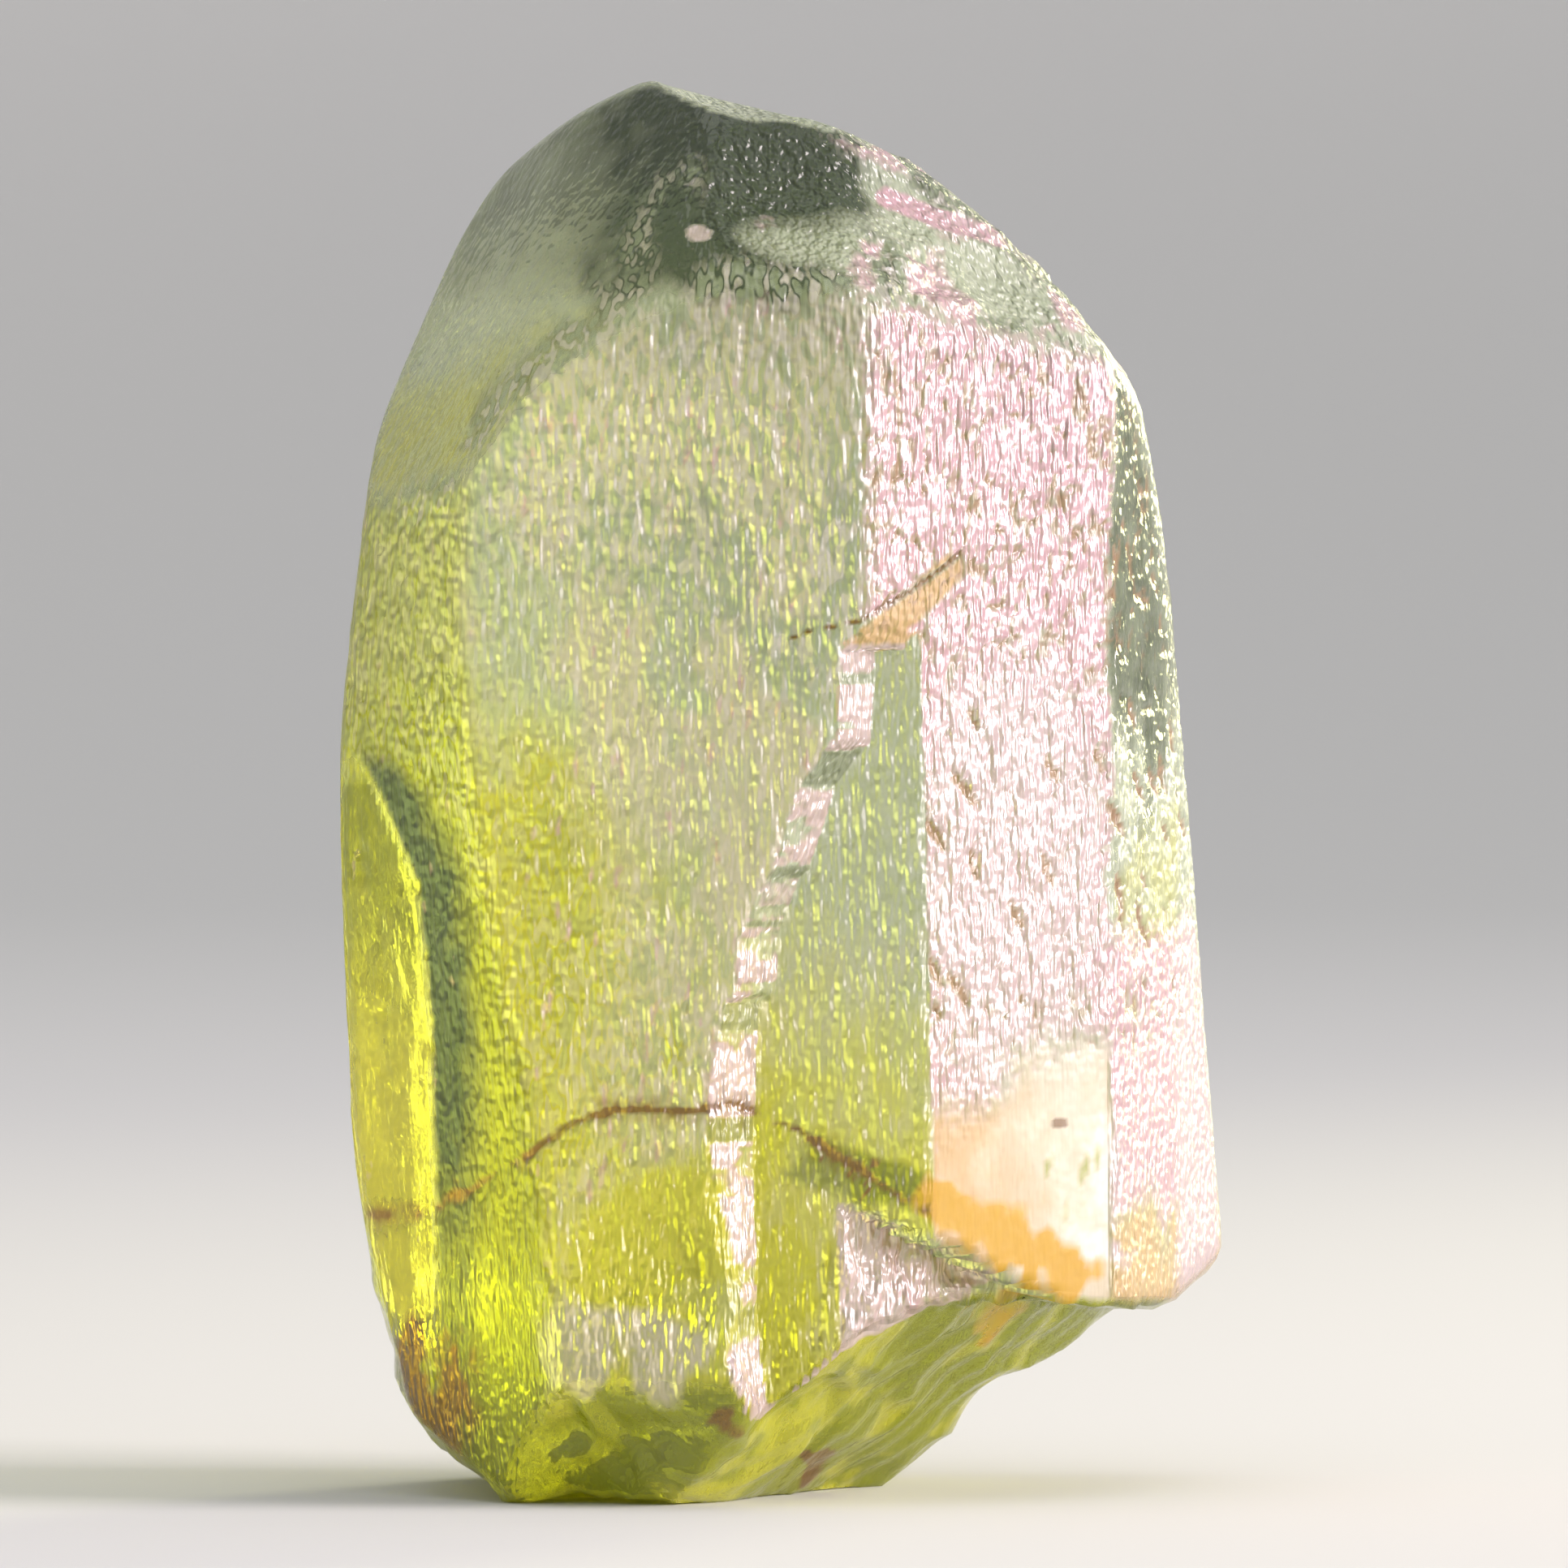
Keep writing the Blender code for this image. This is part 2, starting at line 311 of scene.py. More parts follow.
def layered_noise(points, size, seed, layers=4):
    """Noise from 0 to 1 in layers, each half as long and half as strong as the one before."""
    total = np.zeros(len(points))
    weight = 0.0
    for layer in range(layers):
        strength = 0.5 ** layer
        total += strength * noise(points, np.array(size) * strength, seed + layer)
        weight += strength
    return total / weight


def threads(points, size, width, seed):
    """Thin winding lines, 1 on the line and 0 off it: where the layered noise passes its middle."""
    value = layered_noise(points, size, seed, 2)
    return 1.0 - ease(np.abs(value - 0.5), 0.0, width)


def pits(across, along, spacing, length, width, lean, share, seed):
    """Oblong pits, 1 at the middle and 0 outside. Each cell of the two surface coordinates may hold
    one, at a hashed place and of a hashed size. They are long along a direction that leans this
    many degrees from the second coordinate."""
    lean = math.radians(lean)
    cell_u = np.floor(across / spacing[0]).astype(np.int64)
    cell_v = np.floor(along / spacing[1]).astype(np.int64)
    deepest = np.zeros(len(across))
    for step_u in (-1, 0, 1):
        for step_v in (-1, 0, 1):
            cells = np.stack([cell_u + step_u, cell_v + step_v, np.zeros_like(cell_u)], axis=1)
            middle_u = (cells[:, 0] + hashed(cells, seed)) * spacing[0]
            middle_v = (cells[:, 1] + hashed(cells, seed + 1)) * spacing[1]
            present = hashed(cells, seed + 2) < share
            scale = 0.6 + 0.8 * hashed(cells, seed + 3)
            turned = lean + (hashed(cells, seed + 4) - 0.5) * 0.5
            du, dv = across - middle_u, along - middle_v
            long_way = (du * np.sin(turned) + dv * np.cos(turned)) / (length * scale)
            short_way = (du * np.cos(turned) - dv * np.sin(turned)) / (width * scale)
            depth = np.clip(1.0 - long_way ** 2 - short_way ** 2, 0.0, None) * present
            deepest = np.maximum(deepest, depth)
    return np.sqrt(deepest)


def ease(values, low, high):
    """0 below low, 1 above high and a smooth change between them."""
    part = np.clip((values - low) / (high - low), 0.0, 1.0)
    return part * part * (3.0 - 2.0 * part)


def fade(values, low, high):
    """1 below low, 0 above high and a smooth change between them."""
    return 1.0 - ease(values, low, high)


def largest(*shares):
    """The largest of several shares at each point."""
    return np.max(shares, axis=0)


def edge_at(z, edge):
    """The X, at each Z, of an upright edge that is given as corners from its top down."""
    return np.interp(z, [corner[1] for corner in edge[::-1]], [corner[0] for corner in edge[::-1]])


def spot(x, z, middle, half_sizes, softness=0.35):
    """1 inside an upright ellipse in X and Z and 0 outside it, eased over this share of its size."""
    away = np.hypot((x - middle[0]) / half_sizes[0], (z - middle[1]) / half_sizes[1])
    return 1.0 - ease(away, 1.0 - softness, 1.0 + softness)


def inside_outline(x, z, corners, softness):
    """1 inside a convex outline in X and Z whose corners go clockwise and 0 outside it: the smallest
    of the distances inwards from its edges, eased."""
    inwards = np.full(len(x), 1e9)
    for (x0, z0), (x1, z1) in zip(corners, corners[1:] + corners[:1]):
        run, climb = x1 - x0, z1 - z0
        inwards = np.minimum(inwards, ((x - x0) * climb - (z - z0) * run) / math.hypot(run, climb))
    return ease(inwards, -softness, softness)


def path_distance(x, z, path):
    """The distance in X and Z from each point to a path of straight stretches."""
    nearest = np.full(len(x), 1e9)
    for (x0, z0), (x1, z1) in zip(path[:-1], path[1:]):
        run, climb = x1 - x0, z1 - z0
        part = np.clip(((x - x0) * run + (z - z0) * climb) / (run * run + climb * climb), 0.0, 1.0)
        nearest = np.minimum(nearest, np.hypot(x - x0 - part * run, z - z0 - part * climb))
    return nearest


# -------------------- the crystal's surface


def spine_rays(columns, rows):
    """For each column and row, the ray that finds the surface: where it starts on the spine and its
    direction. Between the spine's ends the rays are level. At both ends they fan out to the poles.
    The columns lie closer together on the front."""
    spine_x, spine_y, low, high = SPINE
    share = (np.arange(columns) + 0.5) / columns
    turn = 2.0 * math.pi * share + FRONT_CROWDING * np.sin(2.0 * math.pi * share) - FRONT_TURN
    fan_low = int(rows * FOOT_SHARE)
    fan_high = int(rows * TIP_SHARE)
    level = rows - fan_low - fan_high
    rise = np.concatenate([
        -0.5 * math.pi * (1.0 - (np.arange(fan_low) + 0.6) / (fan_low + 0.6)),
        np.zeros(level),
        0.5 * math.pi * (np.arange(fan_high) + 1.0) / (fan_high + 0.6),
    ])
    height = np.concatenate([
        np.full(fan_low, low),
        low + (high - low) * (np.arange(level) + 0.5) / level,
        np.full(fan_high, high),
    ])
    flat = np.cos(rise)[:, None]
    ways = np.stack([
        -np.sin(turn)[None, :] * flat,
        np.cos(turn)[None, :] * flat,
        np.repeat(np.sin(rise)[:, None], columns, axis=1),
    ], axis=-1)
    starts = np.empty_like(ways)
    starts[..., 0] = spine_x
    starts[..., 1] = spine_y
    starts[..., 2] = height[:, None]
    return starts, ways


def find_surface(starts, ways):
    """The point of each ray where the crystal's field is zero, found by halving the search."""
    near = np.zeros(len(starts))
    far = np.full(len(starts), SEARCH_REACH)
    for _ in range(SEARCH_STEPS):
        middle = 0.5 * (near + far)
        outside = crystal_field(starts + ways * middle[:, None]) > 0.0
        far = np.where(outside, middle, far)
        near = np.where(outside, near, middle)
    return starts + ways * (0.5 * (near + far))[:, None]


def surface_normals(points):
    """The outward unit vectors: the slopes of the crystal's field, from small steps either way."""
    step = 0.02
    slopes = np.empty_like(points)
    for axis in range(3):
        shift = np.zeros(3)
        shift[axis] = step
        slopes[:, axis] = crystal_field(points + shift) - crystal_field(points - shift)
    return slopes / np.linalg.norm(slopes, axis=1)[:, None]


# Where the marks of the front lie, in X and Z. The corner chip and the tip chip line carry painted
# highlights.
IRON_LINE = (
    (-8.6, 5.4), (-8.16, 5.53), (-6.87, 5.77), (-5.90, 6.42), (-4.61, 7.31), (-3.32, 7.79),
    (-1.06, 7.79), (0.23, 7.39), (1.19, 6.90), (2.16, 6.26), (2.89, 5.69),
)
CRACK = ((0.10, 17.10), (1.52, 17.39), (2.5, 17.9), (3.45, 18.62))
CHIP_CORNERS = ((1.03, 5.94), (4.34, 4.56), (1.19, 3.10))
WEDGE_CORNERS = ((0.16, 6.5), (0.63, 7.3), (2.95, 6.5), (2.9, 5.6), (1.6, 5.95))
ORANGE_PATH = ((2.9, 5.95), (3.7, 5.55), (4.4, 5.3), (5.0, 4.85), (5.7, 4.45))
ORANGE_RUN = ((4.7, 4.5), (4.4, 4.0), (4.0, 3.3))
TIP_CHIP_LINE = ((2.0, 25.65), (3.0, 25.25), (4.3, 24.85))
BEVEL_LINE = ((-5.6, 20.9), (-4.2, 22.4), (-2.6, 23.4), (-0.8, 23.9), (0.9, 23.7))
TIP_SEAM = ((-7.2, 19.6), (-5.9, 21.0), (-4.3, 22.8), (-2.9, 24.3), (-2.0, 26.0))
TIP_RIM = ((-6.8, 19.8), (-5.9, 21.2), (-4.4, 22.8), (-3.2, 23.9))
# Spots of the front in X and Z: the middle, the half sizes and the softness of the edge. The glow spot is
# painted glow, and the glare and glint spots are painted highlights.
SPOTS = {
    "painted_glow": ((-4.9, 11.6), (1.7, 3.2), 0.6),
    "low_frost": ((-2.9, 2.95), (1.9, 0.95), 0.35),
    "apex_glint": ((-0.4, 25.1), (0.3, 0.2), 0.6),
    "low_gold": ((-2.4, 5.5), (2.3, 1.5), 0.6),
    "right_gold": ((7.5, 11.8), (0.8, 1.9), 0.8),
    "foot_rust": ((-6.9, 2.3), (0.9, 1.6), 0.35),
    "rust_speck": ((-1.47, 1.75), (0.34, 0.22), 0.35),
    "low_rust_speck": ((0.63, 0.37), (0.36, 0.14), 0.35),
    "dark_dash": ((5.39, 7.47), (0.22, 0.07), 0.35),
    "glare": ((4.5, 12.2), (1.9, 4.6), 0.5),
    "tall_glint": ((6.35, 6.5), (0.42, 1.1), 0.7),
    "low_glint": ((5.9, 4.95), (0.95, 0.28), 0.6),
    "tip_glint": ((-1.68, 24.9), (0.25, 0.16), 0.4),
    "coarse_patch": ((-3.0, 9.6), (2.4, 2.2), 0.5),
    "green_flecks": ((5.7, 6.4), (0.9, 0.8), 0.35),
    "grey_cloud": ((-0.2, 20.6), (3.4, 3.6), 0.6),
}
LEDGE_SLOPE = ((1.75, 17.05), (2.45, 17.55), (3.25, 18.35))
# The pieces of the ledge's riser that get a painted highlight: their lowest and highest Z and how strongly;
# the riser between them gets painted shade.
RISER_PIECES = (
    (16.35, 16.95, 1.0), (14.85, 16.1, 1.0), (12.6, 14.1, 0.75), (11.5, 12.35, 0.4), (9.9, 11.35, 0.85),
    (7.7, 9.35, 1.0), (4.05, 7.15, 0.95), (1.7, 3.3, 0.95),
)
STRIP_EDGE = ((-8.4, 14.6), (-8.0, 14.0), (-7.2, 12.2), (-6.95, 9.5), (-6.85, 7.0), (-6.8, 3.4))
BAND_EDGE = ((-8.2, 15.0), (-6.7, 13.6), (-5.9, 11.0), (-5.1, 8.0), (-4.9, 5.5), (-4.8, 2.0))


def face_shares(heights):
    """How much of each point belongs to each flat face, from 0 to 1: the faces' heights compared."""
    strength = np.exp(9.0 * (heights - heights.max(axis=1)[:, None]))
    return strength / strength.sum(axis=1)[:, None]


def places(points, normals):
    """The parts of the surface, each as a share from 0 to 1 for every point."""
    flat, heights = flat_faces_field(points)
    shares = face_shares(heights) * ease(flat, -0.14, -0.03)[:, None]
    cuts = cut_fields(points)
    z = points[:, 2]

    def faces(*names):
        return shares[:, [FACE_NAMES.index(name) for name in names]].sum(axis=1)

    def cut_share(*names):
        return np.max([ease(cuts[name], -0.14, -0.03) for name in names], axis=0)

    front_side = ease(-normals[:, 1], 0.0, 0.35)
    in_ledge = cut_share("ledge")
    recessed = in_ledge * ease(-normals[:, 1], 0.86, 0.95)
    gap = np.sort(heights, axis=1)
    part = {
        "front": faces("front"),
        "front_right": faces("front_right", "right"),
        "edge_right": faces("right_edge", "right_edge_high", "back_right"),
        "left": faces("left_high", "left_low", "left_front", "left_front_low"),
        "tip_left": faces("tip_left", "tip_left_front", "tip_left_crown", "tip_left_peak"),
        "tip_front": faces("tip_front", "tip_front_high", "tip_left_arc"),
        "tip_right": faces("tip_right", "tip_right_low", "tip_right_edge", "tip_right_crown"),
        "back": faces("back", "back_left"),
        "tip_back": faces("tip_back", "tip_right_back", "tip_left_back", "tip_left_back_low"),
        "foot": np.maximum(
            faces("foot_front", "foot_left", "foot_left_low", "foot_back"),
            cut_share("foot_right", "foot_right_back", "foot_left_hollow", "foot_rest_hollow"),
        ),
        "knob": faces("foot_knob"),
        "chip": cut_share("front_chip"),
        "scallop": cut_share("front_scallop", "back_scallop", "back_chip"),
        "crown": cut_share("apex_notch", "crown_scallop", "crown_chip", "shoulder_chip"),
        "recessed": recessed,
        "riser": in_ledge * (1.0 - ease(-normals[:, 1], 0.86, 0.95)) * ease(17.1 - z, 0.0, 0.4),
        "ledge_top": in_ledge * ease(z, 16.4, 17.0) * (1.0 - ease(-normals[:, 1], 0.90, 0.97)),
        "front_side": front_side,
        "inner": ease(gap[:, -1] - gap[:, -2], 0.05, 0.45),
        "base": ease(-normals[:, 2], 0.94, 0.99) * ease(0.25 - z, 0.0, 0.2),
    }
    part["prism"] = np.clip(
        part["front"] + part["front_right"] + part["edge_right"] + part["left"] + part["back"], 0.0, 1.0
    )
    return part


def relief(points, normals, part):
    """How far the etching, pits, chips and cracks raise or lower the surface, in millimetres, and
    the shares of the grooves, the pits and the iron line. Each pattern is a field of position,
    weighted by the parts of the surface that carry it."""
    x, y, z = points.T
    along = points @ np.array([0.77, 0.64, 0.0])
    wavy = points + 0.35 * (np.stack([
        noise(points, (0.8, 0.8, 1.6), 11), noise(points, (0.8, 0.8, 1.6), 12), noise(points, (1.1,) * 3, 13)
    ], axis=1) - 0.5)
    line_bend = 0.30 * (noise(points, (0.7,) * 3, 21) - 0.5)

    worms = threads(wavy, (0.42, 0.42, 1.15), 0.045, 31)
    fine_worms = threads(wavy, (0.24, 0.24, 0.55), 0.06, 35)
    stripes = layered_noise(wavy, (0.22, 0.22, 2.6), 41, 3) - 0.5
    swell = layered_noise(points, (2.6, 2.6, 3.4), 51, 3) - 0.5
    grain = layered_noise(points, (0.55, 0.55, 0.8), 55, 3) - 0.5
    etch = pits(along, z, (0.95, 1.05), 0.42, 0.115, -32.0, 0.45, 61)
    dots = pits(x, z, (0.55, 0.60), 0.14, 0.07, 4.0, 0.42, 71)
    side_dots = pits(y, z, (0.60, 0.75), 0.17, 0.08, 4.0, 0.5, 76)

    right = np.maximum(part["front_right"], 0.7 * part["edge_right"])
    etched = right * (1.0 - part["recessed"])
    pit_zone = etched * ease(z, 8.6, 10.5) * (1.0 - ease(z, 15.8, 17.6))
    worm_zone = etched * ease(z, 8.2, 9.8)
    depth = -0.050 * worms * worm_zone - 0.028 * fine_worms * worm_zone
    depth -= 0.10 * etch * pit_zone
    glassy = right * (1.0 - ease(z, 7.6, 9.4)) * ease(x, 2.6, 3.0)
    depth += 0.085 * stripes * (part["prism"] * 0.7 + 0.3 * part["recessed"]) * (1.0 - 0.9 * glassy)
    depth += 0.14 * swell * part["inner"]
    depth += 0.05 * grain * (part["front"] + part["left"] + part["back"] + 0.6 * part["recessed"])
    depth -= 0.050 * dots * part["front"] * (1.0 - part["scallop"])
    depth -= 0.050 * side_dots * np.maximum(part["edge_right"], part["left"])

    chips = layered_noise(wavy, (1.4, 0.8, 0.45), 81, 4) - 0.5
    depth += 0.60 * chips * part["tip_right"] * part["inner"]
    depth += 0.30 * chips * part["tip_front"] * part["inner"]
    steps = x * 0.35 + z + 0.8 * layered_noise(points, (2.0,) * 3, 83, 2)
    steps = np.abs((steps / 0.52) % 1.0 - 0.5)
    depth += 0.07 * (steps - 0.25) * part["tip_right"] * ease(x, 0.8, 1.6)

    ripple_reach = np.linalg.norm(points - np.array([0.4, -7.0, 3.6]), axis=1)
    ripples = np.sin(9.0 * ripple_reach + 5.0 * layered_noise(points, (1.6,) * 3, 91, 2))
    shell = 0.25 - 1.6 * np.abs(layered_noise(points, (2.2, 2.2, 1.6), 93, 2) - 0.5)
    broken = np.maximum(part["foot"], part["knob"] * 0.4) * (1.0 - part["base"])
    depth += (0.020 * ripples + 0.60 * shell) * broken * part["inner"]
    depth += 0.16 * (shell + 3.5 * grain) * np.maximum(part["scallop"], part["chip"])

    bars = ease(layered_noise(points + 0.25 * z[:, None] * [1, 0, 0], (1.1, 1.1, 0.30), 95, 2), 0.36, 0.46)
    bars *= 1.0 - 0.9 * ease(z, 14.05, 14.2) * (1.0 - ease(z, 14.75, 14.9))
    bars *= 1.0 - 0.95 * ease(z, 3.25, 3.4) * (1.0 - ease(z, 3.95, 4.1))
    depth += 0.035 * bars * part["riser"]

    iron = path_distance(x, z + line_bend, IRON_LINE)
    worn = layered_noise(points, (0.9, 0.9, 0.9), 25, 3)
    iron_line = (1.0 - ease(iron, 0.02, 0.05 + 0.16 * worn)) * ease(worn, 0.24, 0.40) * part["front_side"]
    crack = path_distance(x, z + 0.8 * line_bend, CRACK)
    crack = (1.0 - ease(crack, 0.01, 0.03 + 0.13 * worn)) * part["front_side"]
    depth -= 0.045 * iron_line + 0.065 * crack
    depth *= 1.0 - part["base"] * 0.9
    marks = {
        "grooves": np.clip(
            (worms + 0.6 * fine_worms) * worm_zone * (1.0 - 0.65 * pit_zone) + 1.4 * etch * pit_zone, 0.0, 1.0
        ),
        "bars": bars,
        "iron": iron,
        "iron_line": iron_line,
        "crack": crack,
    }
    return depth, marks


def stains(points, normals, part, marks):
    """The tones of the surface by name, each a share from 0 to 1 at every point, by formula from where the
    point is and which part of the crystal it lies on. Some tones paint light and shade: painted highlights
    and glints, a painted yellow glow at the left and painted shade on the narrow right face and the ledge's
    riser."""
    x, z, front = points[:, 0], points[:, 2], part["front_side"]
    cloud = layered_noise(points, (3.4, 3.4, 3.4), 101, 4)
    patch = layered_noise(points, (1.1, 1.1, 1.5), 105, 4)
    uneven = patch - 0.5
    spot_x = x + 1.3 * uneven
    spot_z = z + 1.3 * (noise(points, (0.9,) * 3, 107) - 0.5)

    def at_spot(name):
        """1 in a spot of the front that is named in SPOTS, with a ragged edge."""
        return spot(spot_x, spot_z, *SPOTS[name])

    def near(path, inner, outer):
        """1 nearer to a path than the inner distance and 0 beyond the outer one."""
        return fade(path_distance(x, z, path), inner, outer)

    # The strip of painted glow and the dark band at the left, and the broad frosted face beside them with a
    # spot of painted glow.
    strip_x = edge_at(z, STRIP_EDGE)
    band_x = edge_at(z, BAND_EDGE) + 0.8 * (cloud - 0.5)
    past_strip = x - strip_x
    glow_strip = fade(past_strip, -0.12, 0.12) * ease(15.0 - z, 0.0, 1.0) * ease(z, 2.6, 3.6) * front
    band = ease(past_strip, -0.10, 0.10) * fade(x - band_x, -0.2, 0.5)
    band *= ease(15.6 - z, 0.0, 1.6) * front
    main = part["front"] * (1.0 - part["foot"]) * (1.0 - part["scallop"])
    painted_glow = (0.45 + 0.55 * ease(patch, 0.36, 0.6)) * at_spot("painted_glow") * main
    slope = near(LEDGE_SLOPE, 0.18, 0.42) * front
    low = fade(z + 4.0 * (cloud - 0.5) + 0.45 * x, 6.5, 17.0)
    leafy = low * (0.40 + 0.60 * ease(-spot_x, -2.0, 5.5))

    # The bright face at the right with its low glassy end, the narrow face beyond it whose top gets painted
    # shade, the corner chip, the dark wedge, the pieces of the ledge that get painted highlights and the
    # orange stain.
    chip = inside_outline(x + 0.25 * uneven, z, CHIP_CORNERS, 0.07) * front
    wedge = inside_outline(spot_x, z, WEDGE_CORNERS, 0.25) * part["recessed"]
    side = ease(x + 0.5 * uneven, 6.35, 6.55)
    right = np.maximum(part["front_right"], part["edge_right"] * front)
    right *= (1.0 - part["recessed"]) * (1.0 - part["foot"])
    right_side, warm = right * side, right * (1.0 - side)
    wavy = z + 1.5 * (layered_noise(points, (1.3, 1.3, 1.0), 137, 2) - 0.5) - 0.35 * (x - 4.5)
    low_right = warm * fade(wavy, 7.6, 9.2)
    streaks = noise(points, (0.35, 0.35, 2.5), 113) - 0.5
    shaded_side = np.maximum(right_side, part["edge_right"])
    shaded_side *= ease(z + 5.0 * uneven + 2.5 * streaks, 12.2, 16.2)
    lit = sum(
        share * ease(z, bottom - 0.07, bottom + 0.07) * fade(z, top - 0.07, top + 0.07)
        for bottom, top, share in RISER_PIECES
    )
    ragged = 0.5 * (noise(points, (0.35,) * 3, 117) - 0.5)
    orange = fade(path_distance(x, z, ORANGE_PATH) + 1.3 * ragged, 0.22, 0.66) * front
    orange += 0.7 * fade(path_distance(x, z, ORANGE_RUN) + ragged, 0.10, 0.45) * front

    frost = main * (0.15 + 0.85 * ease(patch + 0.35 * cloud, 0.50, 0.78))
    frost *= (1.0 - band) * (1.0 - glow_strip)
    frost *= (1.0 - 0.6 * leafy) * (1.0 - 0.8 * painted_glow)
    frost += 0.9 * low_right + 0.5 * part["back"] * ease(patch, 0.4, 0.7)
    frost += 0.30 * part["left"] * ease(z, 14.0, 16.5) + 0.30 * part["recessed"] * ease(patch, 0.4, 0.65)
    frost += 0.9 * at_spot("low_frost") * ease(patch, 0.36, 0.56) * front

    # Pink-white etched film on the bright face, partly a painted sheen of the light from the right; painted
    # highlights on the narrow face, the lit riser pieces, the chip, the tip and the etch dashes.
    pink_frost_and_sheen = warm * (0.75 + 0.25 * ease(z, 15.0, 18.0)) * ease(wavy, 7.4, 9.2)
    pink_frost_and_sheen += 0.8 * right_side * fade(z, 10.5, 12.0) * ease(spot_z, 4.8, 6.2)
    pink_frost_and_sheen += part["riser"] * lit * (0.25 + 0.75 * marks["bars"])
    pink_frost_and_sheen += chip * (0.55 + 0.45 * ease(patch, 0.38, 0.52))
    pink_frost_and_sheen += 0.8 * part["tip_right"] * ease(patch, 0.50, 0.62)
    speck = pits(x, z, (0.50, 0.45), 0.085, 0.055, 30.0, 0.5, 109)
    pink_frost_and_sheen += 0.5 * part["tip_front"] * ease(speck, 0.3, 0.8)
    pink_frost_and_sheen += (0.3 * spot(x, z, *SPOTS["apex_glint"]) + near(TIP_CHIP_LINE, 0.10, 0.28)) * front
    dashes = pits(x, z, (0.42, 0.95), 0.30, 0.065, 2.0, 0.55, 131)
    pink_frost_and_sheen += 0.7 * dashes * (main + 0.5 * part["left"]) * ease(patch, 0.40, 0.58)
    pink_frost_and_sheen *= (1.0 - 0.85 * marks["grooves"]) * (1.0 - 0.8 * orange)
    pink_frost_and_sheen *= (1.0 - wedge) * (1.0 - 0.9 * slope)

    peach = (0.9 * slope + part["ledge_top"]) * (1.0 - marks["crack"]) + 0.8 * part["knob"]
    left_end = fade(x + 2.0 * uneven, 3.0, 5.2)
    peach += low_right * (0.30 + 0.55 * left_end + 0.5 * (patch - 0.4))
    peach += 0.7 * right_side * fade(spot_z, 4.8, 6.2)
    peach += 0.35 * part["edge_right"] * fade(z, 10.0, 14.0)

    # Deep green of the tip, the band and the foot, and painted shade on the top of the narrow right face and
    # on the riser between its lit pieces.
    high = ease(-normals[:, 1], -0.05, 0.20) * ease(spot_z, 22.7, 24.3)
    deep = 0.93 * high * ease(spot_x, -3.0, -1.3) * fade(spot_x, 1.0, 1.9)
    deep += 0.35 * high * ease(spot_x, -4.8, -2.6) * fade(spot_x, 1.6, 3.0)
    deep += 0.45 * part["tip_left"] * ease(z, 22.5, 24.5)
    deep *= 1.0 - 0.9 * ease(normals[:, 2], 0.62, 0.85)
    seam = fade(x - strip_x, 0.35, 1.1 + 1.2 * patch)
    deep += 0.62 * shaded_side + 0.85 * band * seam * (0.6 + 0.4 * ease(z, 3.0, 8.0))
    deep += 0.6 * part["tip_right"] * fade(patch, 0.42, 0.6) + 0.35 * wedge
    deep += 0.15 * part["foot"] * fade(patch, 0.36, 0.50)
    deep += 0.45 * part["riser"] * (1.0 - lit) * ease(z, 3.0, 4.0)
    rim = near(TIP_RIM, 0.0, 1.0) * front * ease(patch, 0.34, 0.56)
    deep += 0.55 * rim * (part["tip_left"] + part["tip_front"])

    # The yellow-green of the lower part and the foot, with painted glow in the glow strip and the glow spot.
    gold_and_glow = leafy + painted_glow + glow_strip + 0.4 * band + 0.5 * part["left"] + 0.8 * part["foot"]
    gold_and_glow += 0.35 * part["recessed"] * fade(spot_z, 5.0, 13.0)
    gold_and_glow = largest(
        np.clip(gold_and_glow, 0.0, 1.0),
        0.6 * part["tip_left"] * fade(spot_z - 0.3 * (x + 6.0), 20.8, 24.4),
        0.95 * at_spot("low_gold") * front,
        0.45 * at_spot("right_gold") * right_side,
    )

    rust = 0.75 * marks["iron_line"] + 0.9 * marks["crack"]
    rust += 0.45 * fade(marks["iron"], 0.1, 0.6) * front * ease(patch, 0.42, 0.62)
    rust += 0.8 * wedge * ease(threads(points, (0.9, 0.9, 0.5), 0.03, 119), 0.3, 0.8)
    rust += 0.5 * part["foot"] * ease(patch * cloud, 0.36, 0.44) * (1.0 - front)
    specks = at_spot("foot_rust") * ease(patch, 0.28, 0.48) + at_spot("rust_speck")
    specks += spot(x, spot_z, *SPOTS["low_rust_speck"]) + spot(x, z, *SPOTS["dark_dash"])
    rust += specks * front

    olive = np.maximum(part["foot"] * (1.0 - 0.6 * ease(patch, 0.52, 0.62)), wedge)
    olive = largest(
        olive * (1.0 - orange),
        0.95 * band,
        0.78 * part["left"] * (1.0 - glow_strip),
        0.42 * painted_glow,
        0.45 * main * fade(spot_z, 4.0, 11.0) * (0.6 + 0.8 * uneven),
        0.8 * glow_strip * ease(z, 7.0, 12.5),
    )

    # Painted highlights: the glare on the bright face, the lit riser bars, the chip, the right edge and the
    # glints.
    white = warm * (1.0 - low_right) * spot(spot_x, z, *SPOTS["glare"]) * (0.75 + 0.25 * patch)
    white += part["riser"] * lit * marks["bars"] + chip * (0.4 + 0.6 * ease(patch, 0.46, 0.56))
    white += right * ease(x, 7.5, 8.1) * fade(z, 10.5, 12.5)
    glints = 0.85 * spot(x + 0.4 * uneven, z, *SPOTS["tall_glint"])
    glints += 0.9 * spot(x, z + 0.8 * uneven, *SPOTS["low_glint"])
    glints += spot(x + 0.3 * (z - 24.9), z, *SPOTS["tip_glint"])
    white = (white + glints * front) * (1.0 - orange)

    grey = main * (at_spot("grey_cloud") + 0.45 * ease(z, 12.0, 17.0))
    grey *= (1.0 - painted_glow) * (0.55 + 0.45 * ease(patch, 0.35, 0.6))

